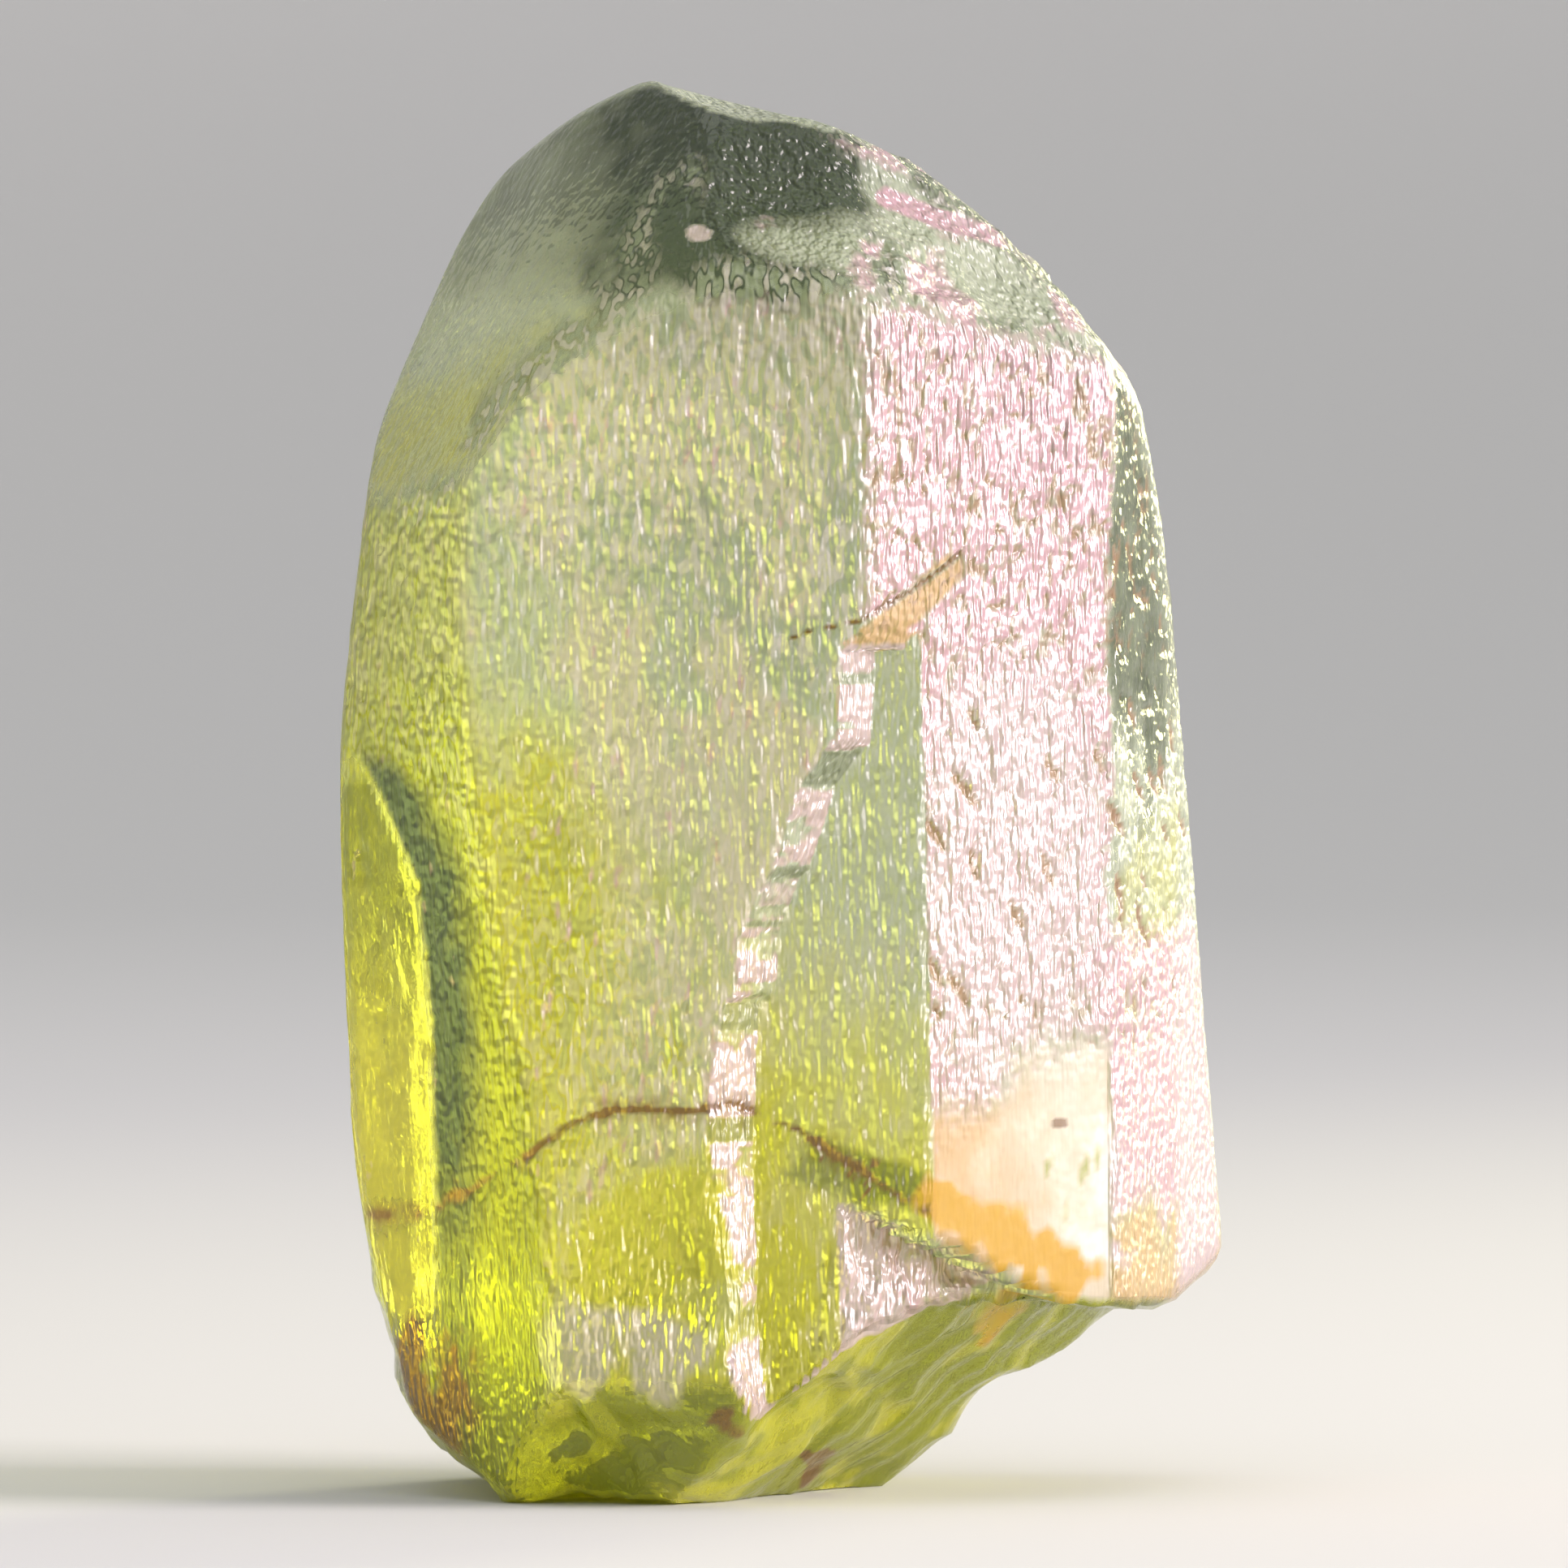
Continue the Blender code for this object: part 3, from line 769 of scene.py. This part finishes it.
    # Where the sparks show; the bright sparks are painted glints.
    coarse_and_glints = main * ease(spot_z + 0.4 * (x + 2.0), 16.2, 19.0)
    coarse_and_glints += 0.5 * main * at_spot("coarse_patch") + 0.7 * part["tip_right"]
    coarse_and_glints += 0.9 * near(BEVEL_LINE, 0.15, 0.75) * front * ease(patch, 0.36, 0.5)
    coarse_and_glints += 0.8 * near(TIP_SEAM, 0.1, 0.7) * front * ease(patch, 0.42, 0.52)
    coarse_and_glints *= 1.0 - 0.7 * painted_glow
    coarse_and_glints += 0.3 * main + 0.35 * part["left"] * (1.0 - glow_strip) * (1.0 - band) + 0.5 * part["chip"]

    flecks = pits(x, z, (0.75, 0.9), 0.34, 0.10, 8.0, 0.6, 121)
    flecks *= spot(x, z, *SPOTS["green_flecks"]) * front

    tip = part["tip_front"] + 0.7 * part["tip_left"]
    gloss = largest(part["foot"], tip, 0.8 * shaded_side, glow_strip, part["knob"])

    clouded = 0.4 + 0.6 * ease(patch, 0.4, 0.55)
    dull = largest(0.6 * low_right * (1.0 - 0.9 * white) * clouded, orange, 0.7 * slope)

    film = np.maximum(pink_frost_and_sheen, white) * (1.0 - marks["grooves"]) * (1.0 - 0.9 * low_right)

    tones = {
        "frost": frost, "pink_frost_and_sheen": pink_frost_and_sheen, "gold_and_glow": gold_and_glow, "peach": peach,
        "deep": deep, "rust": rust, "orange": orange, "gloss": gloss,
        "grooves": 0.85 * marks["grooves"], "olive": olive, "film": film,
        "white": white, "grey": grey, "coarse_and_glints": coarse_and_glints,
        "calm": np.maximum(gloss, low_right), "flecks": flecks, "dull": dull,
    }
    return {name: np.clip(share, 0.0, 1.0) for name, share in tones.items()}


def grid_faces(columns, rows):
    """The faces of a closed grid, pointing outwards: a quad between each two rows and columns, with
    the last column joined to the first, and a fan to a pole below the first row and above the last."""
    index = np.arange(columns * rows).reshape(rows, columns)
    beside = np.roll(index, -1, axis=1)
    quads = np.stack([index[:-1], beside[:-1], beside[1:], index[1:]], axis=-1).reshape(-1, 4)
    bottom, top = columns * rows, columns * rows + 1
    low_fan = np.stack([np.full(columns, bottom), beside[0], index[0]], axis=-1)
    high_fan = np.stack([np.full(columns, top), index[-1], beside[-1]], axis=-1)
    return quads.tolist() + low_fan.tolist() + high_fan.tolist()


def crystal_mesh(sizes):
    """The crystal as a closed mesh: every grid ray meets the rounded, cut faces, and each point is
    then moved along the outward direction by the relief. The tones become attributes."""
    starts, ways = spine_rays(COLUMNS, ROWS)
    starts, ways = starts.reshape(-1, 3), ways.reshape(-1, 3)
    spine_x, spine_y, low, high = SPINE
    starts = np.vstack([starts, [[spine_x, spine_y, low], [spine_x, spine_y, high]]])
    ways = np.vstack([ways, [[0.0, 0.0, -1.0], [0.0, 0.0, 1.0]]])
    points = find_surface(starts, ways)
    normals = surface_normals(points)
    part = places(points, normals)
    depth, marks = relief(points, normals, part)
    points_now = points + normals * (depth * sizes.relief)[:, None]
    points_now[:, 2] = np.maximum(points_now[:, 2], 0.0)
    mesh = bpy.data.meshes.new("peridot_crystal_etched")
    placed = (points_now - np.array(MIDDLE)) * MM
    mesh.from_pydata(placed.tolist(), [], grid_faces(COLUMNS, ROWS))
    mesh.polygons.foreach_set("use_smooth", np.ones(len(mesh.polygons), dtype=bool))
    for name, share in stains(points, normals, part, marks).items():
        layer = mesh.attributes.new(name, "FLOAT", "POINT")
        layer.data.foreach_set("value", share.astype(np.float32))
    mesh.update()
    return mesh


# -------------------- materials


def shader_nodes(name):
    """A new material with its nodes cleared, and a function that adds one node to it."""
    material = bpy.data.materials.new(name)
    material.use_nodes = True
    tree = material.node_tree
    tree.nodes.clear()

    def add(kind, inputs=None, **settings):
        node = tree.nodes.new(kind)
        for key, value in settings.items():
            setattr(node, key, value)
        for key, value in (inputs or {}).items():
            if hasattr(value, "is_output") or isinstance(value, bpy.types.NodeSocket):
                tree.links.new(value, node.inputs[key])
            else:
                node.inputs[key].default_value = value
        return node

    return material, add


def peridot_material(colours):
    """Clear yellow-green crystal: its surface tints, among them painted highlights, painted glow and painted
    shade, are laid over each other by the tone attributes, broken up by fine noise, and its body takes up
    blue and some red with depth."""
    material, add = shader_nodes("rough_peridot")
    place = add("ShaderNodeTexCoord").outputs["Object"]
    fine = add("ShaderNodeTexNoise", {"Vector": place, "Scale": 5600.0, "Detail": 0.0}).outputs["Fac"]
    blotch = add("ShaderNodeTexNoise", {"Vector": place, "Scale": 1500.0, "Detail": 1.0}).outputs["Fac"]
    stretch = add("ShaderNodeMapping", {"Vector": place, "Scale": (6400.0, 6400.0, 1500.0)}).outputs[0]
    strokes = add("ShaderNodeTexNoise", {"Vector": stretch, "Scale": 1.0, "Detail": 1.0}).outputs["Fac"]

    slanted = add("ShaderNodeMapping", {
        "Vector": place, "Rotation": (0.0, math.radians(28.0), 0.0), "Scale": (6500.0, 5000.0, 2600.0),
    }).outputs[0]

    def tone(name):
        return add("ShaderNodeAttribute", attribute_name=name).outputs["Fac"]

    def math_node(operation, first, second, third=None, clamp=False):
        inputs = {0: first, 1: second}
        if third is not None:
            inputs[2] = third
        return add("ShaderNodeMath", inputs, operation=operation, use_clamp=clamp).outputs[0]

    fine_break = math_node("MULTIPLY", fine, -TONE_BREAK)
    blotch_break = math_node("MULTIPLY", blotch, -TONE_BREAK)
    stroke_break = math_node("MULTIPLY", strokes, -TONE_BREAK)

    def broken(name, break_up):
        """The tone's share with a ragged edge: raised a little and lowered by a noise, so that it
        stays 0 where it was 0 and 1 where it was 1."""
        return math_node("MULTIPLY_ADD", tone(name), 1.0 + TONE_BREAK, break_up, clamp=True)

    def layer(under, over, share):
        node = add("ShaderNodeMix", {0: share}, data_type="RGBA")
        tree_link(under, node.inputs[6])
        tree_link(over, node.inputs[7])
        return node.outputs[2]

    def tree_link(value, socket):
        if isinstance(value, bpy.types.NodeSocket):
            material.node_tree.links.new(value, socket)
        else:
            socket.default_value = (*value[:3], 1.0)

    colour = layer(colours.clear, colours.clear_dark, math_node("MULTIPLY", blotch, 0.8))
    for name, break_up in (
        ("gold_and_glow", blotch_break), ("olive", blotch_break), ("grey", blotch_break), ("frost", stroke_break),
        ("deep", blotch_break), ("peach", blotch_break), ("pink_frost_and_sheen", fine_break), ("white", fine_break),
    ):
        colour = layer(colour, getattr(colours, name), broken(name, break_up))
    colour = layer(colour, colours.olive, tone("flecks"))
    # Sparks: the bright ones are painted glints, the dim ones darker specks.
    sparks = add("ShaderNodeTexNoise", {"Vector": slanted, "Scale": 1.0, "Detail": 0.0}).outputs["Fac"]
    for start, end, tint, strength in (
        (0.53, 0.62, colours.white, PAINTED_GLINTS), (0.47, 0.39, colours.clear_dark, DIM_SPARKS),
    ):
        glint = add("ShaderNodeMapRange", {0: sparks, 1: start, 2: end}).outputs[0]
        share = math_node("MULTIPLY", math_node("MULTIPLY", glint, tone("coarse_and_glints")), strength)
        colour = layer(colour, tint, share)
    colour = layer(colour, colours.groove, broken("grooves", fine_break))
    colour = layer(colour, colours.orange, broken("orange", blotch_break))
    colour = layer(colour, colours.rust, broken("rust", fine_break))

    rough = add("ShaderNodeMapRange", {
        0: tone("gloss"), 1: 0.0, 2: 1.0, 3: colours.rough_frosted, 4: colours.rough_glassy,
    }).outputs[0]
    rough = math_node("SUBTRACT", rough, 0.5 * UNEVEN_ROUGHNESS)
    rough = math_node("MULTIPLY_ADD", tone("dull"), DULL_ROUGHNESS, rough)
    rough = math_node("MULTIPLY_ADD", fine, UNEVEN_ROUGHNESS, rough, clamp=True)
    roughened = math_node("SUBTRACT", 1.10, tone("calm"))
    texture = math_node("MULTIPLY_ADD", fine, 0.6, math_node("MULTIPLY", strokes, 1.4))
    height = math_node("MULTIPLY", texture, roughened)
    bump = add("ShaderNodeBump", {"Height": height, "Strength": 1.0, "Distance": 0.00011}).outputs[0]
    film = broken("film", fine_break)
    shader = add("ShaderNodeBsdfPrincipled", {
        "Base Color": colour, "Roughness": rough, "Normal": bump, "Coat Normal": bump,
        "Coat Weight": film, "Coat Roughness": 0.34, "Coat IOR": 2.1, "Coat Tint": (1.0, 0.84, 0.92, 1.0),
        "IOR": colours.ior, "Transmission Weight": colours.transmission,
    })
    shader.distribution = "GGX"
    volume = add("ShaderNodeVolumeAbsorption", {
        "Color": (*colours.body[:3], 1.0), "Density": colours.density,
    })
    add("ShaderNodeOutputMaterial", {"Surface": shader.outputs[0], "Volume": volume.outputs[0]})
    return material


def plain_material(name, colour, roughness):
    """A matt stage surface of one even colour."""
    material, add = shader_nodes(name)
    shader = add("ShaderNodeBsdfPrincipled", {
        "Base Color": (*colour, 1.0), "Roughness": roughness, "Specular IOR Level": 0.0,
    })
    add("ShaderNodeOutputMaterial", {"Surface": shader.outputs[0]})
    return material


# -------------------- the stage


def bowl_mesh(floor_radius, wall_radius, wall_height, around=96, up=40):
    """The stage as a surface of revolution: a flat disc, then a quarter ellipse that turns up into a
    wall. Each profile point goes round the upright axis."""
    part = np.linspace(0.0, 1.0, up)
    bend = np.clip(part / 0.6, 0.0, 1.0) * 0.5 * math.pi
    bend_height = 0.45 * wall_height
    radius = floor_radius + (wall_radius - floor_radius) * np.sin(bend)
    upright = np.clip((part - 0.6) / 0.4, 0.0, 1.0)
    height = bend_height * (1.0 - np.cos(bend)) + upright * (wall_height - bend_height)
    turn = np.linspace(0.0, 2.0 * math.pi, around, endpoint=False)
    ring = np.stack([
        radius[:, None] * np.cos(turn), radius[:, None] * np.sin(turn),
        np.repeat(height[:, None], around, axis=1),
    ], axis=-1)
    points = np.vstack([ring.reshape(-1, 3), [[0.0, 0.0, 0.0]]])
    index = np.arange(up * around).reshape(up, around)
    beside = np.roll(index, -1, axis=1)
    quads = np.stack([index[:-1], index[1:], beside[1:], beside[:-1]], axis=-1).reshape(-1, 4)
    fan = np.stack([np.full(around, up * around), index[0], beside[0]], axis=-1)
    mesh = bpy.data.meshes.new("stage_bowl")
    mesh.from_pydata(points.tolist(), [], quads.tolist() + fan.tolist())
    mesh.polygons.foreach_set("use_smooth", np.ones(len(mesh.polygons), dtype=bool))
    mesh.update()
    return mesh


def add_softbox(name, turn, rise, distance, size, watts, colour, spread=180.0):
    """A rectangular light that looks at the crystal from this many degrees right of the front."""
    light = bpy.data.lights.new(name, "AREA")
    light.shape = "RECTANGLE"
    light.size, light.size_y = size
    light.energy = watts
    light.color = colour
    light.spread = math.radians(spread)
    holder = bpy.data.objects.new(name, light)
    target = Vector((0.0, 0.0, 0.014))
    holder.location = target + Vector(facing(turn, rise)) * distance
    holder.rotation_euler = (target - holder.location).to_track_quat("-Z", "Y").to_euler()
    holder.visible_camera = False
    bpy.context.scene.collection.objects.link(holder)
    return holder


# -------------------- settings, operators and panel


def tint(name, description, default):
    return bpy.props.FloatVectorProperty(
        name=name, description=description, subtype="COLOR", size=3, min=0.0, max=1.0, default=default
    )


def share_property(name, description, default, highest=1.0):
    return bpy.props.FloatProperty(
        name=name, description=description, default=default, min=0.0, max=highest, subtype="FACTOR"
    )


def length_property(name, description, default, least):
    return bpy.props.FloatProperty(
        name=name, description=description, default=default, min=least, subtype="DISTANCE", unit="LENGTH"
    )


class PeridotShapeSettings(bpy.types.PropertyGroup):
    relief: share_property("Relief", "How deep the etching and chips are", 1.0, 2.0)


class PeridotColourSettings(bpy.types.PropertyGroup):
    clear: tint("Clear", "Tint of the clear surface", (0.80, 0.86, 0.72))
    clear_dark: tint("Clear, darker", "Tint of its darker clouds", (0.50, 0.60, 0.44))
    frost: tint("Frost", "Pale etched film", (0.92, 0.84, 0.70))
    # The pink-white tint is partly a painted sheen of the light from the right.
    pink_frost_and_sheen: tint("Pink frost", "Pink-white etched film", (0.96, 0.66, 0.74))
    # The white tint is painted glare and painted glints.
    white: tint("White frost", "Whitest etched film", (1.0, 0.93, 0.91))
    grey: tint("Grey film", "Greyish film high on the front", (0.52, 0.55, 0.50))
    groove: tint("Grooves", "Etched grooves and pits", (0.55, 0.33, 0.22))
    # The gold tint is also the painted glow.
    gold_and_glow: tint("Gold", "Yellow-green of the lower part", (0.84, 0.82, 0.05))
    olive: tint("Olive", "Tint of the broken foot", (0.38, 0.42, 0.002))
    peach: tint("Peach", "Warm tint of the lower right", (0.96, 0.60, 0.30))
    # The deep green is also the painted shade.
    deep: tint("Deep green", "Tint of the dark parts", (0.035, 0.060, 0.026))
    rust: tint("Iron stain", "Brown iron film", (0.24, 0.10, 0.012))
    orange: tint("Orange stain", "Bright iron stain", (1.0, 0.52, 0.02))
    body: tint("Body colour", "Colour that the depth of the crystal leaves", (0.87, 0.88, 0.42))
    density: bpy.props.FloatProperty(
        name="Body density", description="How fast the body takes up light", default=130.0, min=0.0
    )
    ior: bpy.props.FloatProperty(name="IOR", description="How strongly light bends", default=1.67, min=1.0)
    transmission: share_property("Transmission", "Share of light that passes the surface", 0.65)
    rough_frosted: share_property("Frosted roughness", "Roughness of the etched faces", 0.38)
    rough_glassy: share_property("Glassy roughness", "Roughness of the broken faces", 0.07)


class PeridotStageSettings(bpy.types.PropertyGroup):
    floor: tint("Floor", "Colour of the floor and wall", (0.70, 0.70, 0.69))
    distance: length_property("Camera distance", "From the crystal's middle", 0.30, 0.05)
    rise: bpy.props.FloatProperty(
        name="Camera height angle", description="Above the horizon", default=math.radians(1.0),
        subtype="ANGLE", unit="ROTATION",
    )
    width: length_property("View width", "Width of the view at the crystal", 0.03116, 0.005)


class PERIDOT_OT_crystal(bpy.types.Operator):
    """Build the crystal's etched and broken surface in place of the plain solid"""

    bl_idname = "peridot.crystal"
    bl_label = "Crystal"

    def execute(self, context):
        piece = bpy.data.objects.new("etched_crystal", crystal_mesh(context.scene.peridot_shape))
        context.scene.collection.objects.link(piece)
        piece.data.materials.append(peridot_material(context.scene.peridot_colours))
        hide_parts(NODE)
        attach(piece, BODY)
        return {"FINISHED"}


class PERIDOT_OT_stage(bpy.types.Operator):
    """Add the pale bowl, the soft lights, the dim surround and the camera"""

    bl_idname = "peridot.stage"
    bl_label = "Stage"

    def execute(self, context):
        scene = context.scene
        settings = scene.peridot_stage
        bowl = bpy.data.objects.new("stage_bowl", bowl_mesh(0.45, 0.75, 0.16))
        scene.collection.objects.link(bowl)
        bowl.data.materials.append(plain_material("pale_stage", tuple(settings.floor), 0.9))
        add_softbox("key_right", 77.0, 8.0, 0.42, (0.20, 0.36), 2.9, (1.0, 0.89, 0.91), 140.0)
        add_softbox("warm_behind", 147.0, 11.0, 0.40, (0.12, 0.10), 0.06, (1.0, 0.95, 0.50), 40.0)
        add_softbox("top", 10.0, 78.0, 0.60, (0.50, 0.50), 0.6, (1.0, 1.0, 1.0))
        world = bpy.data.worlds.new("dim_surround")
        world.use_nodes = True
        world.node_tree.nodes["Background"].inputs[0].default_value = (0.56, 0.56, 0.565, 1.0)
        scene.world = world
        scene.view_settings.view_transform = "Standard"
        lens = bpy.data.cameras.new("camera")
        lens.sensor_width = 36.0
        lens.lens = lens.sensor_width * settings.distance / settings.width
        lens.clip_start = 0.01
        camera = bpy.data.objects.new("camera", lens)
        target = Vector((0.0, 0.0, VIEW_MIDDLE * MM))
        camera.location = target + Vector(facing(0.0, math.degrees(settings.rise))) * settings.distance
        camera.rotation_euler = (target - camera.location).to_track_quat("-Z", "Y").to_euler()
        scene.collection.objects.link(camera)
        scene.camera = camera
        return {"FINISHED"}


class PERIDOT_PT_panel(bpy.types.Panel):
    """The pieces of the peridot scene"""

    bl_idname = "PERIDOT_PT_panel"
    bl_label = "Rough Peridot"
    bl_space_type = "VIEW_3D"
    bl_region_type = "UI"
    bl_category = "Peridot"

    def draw(self, context):
        layout = self.layout
        layout.operator(PERIDOT_OT_crystal.bl_idname)
        layout.operator(PERIDOT_OT_stage.bl_idname)
        scene = context.scene
        for settings in (scene.peridot_shape, scene.peridot_colours, scene.peridot_stage):
            for name in settings.__annotations__:
                layout.prop(settings, name)


CLASSES = (
    PeridotShapeSettings, PeridotColourSettings, PeridotStageSettings,
    PERIDOT_OT_crystal, PERIDOT_OT_stage, PERIDOT_PT_panel,
)


def register():
    for item in CLASSES:
        bpy.utils.register_class(item)
    bpy.types.Scene.peridot_shape = bpy.props.PointerProperty(type=PeridotShapeSettings)
    bpy.types.Scene.peridot_colours = bpy.props.PointerProperty(type=PeridotColourSettings)
    bpy.types.Scene.peridot_stage = bpy.props.PointerProperty(type=PeridotStageSettings)


def unregister():
    del bpy.types.Scene.peridot_stage
    del bpy.types.Scene.peridot_colours
    del bpy.types.Scene.peridot_shape
    for item in reversed(CLASSES):
        bpy.utils.unregister_class(item)


def main():
    register()
    bpy.ops.peridot.crystal()
    bpy.ops.peridot.stage()
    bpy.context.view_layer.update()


if __name__ == "__main__":
    main()
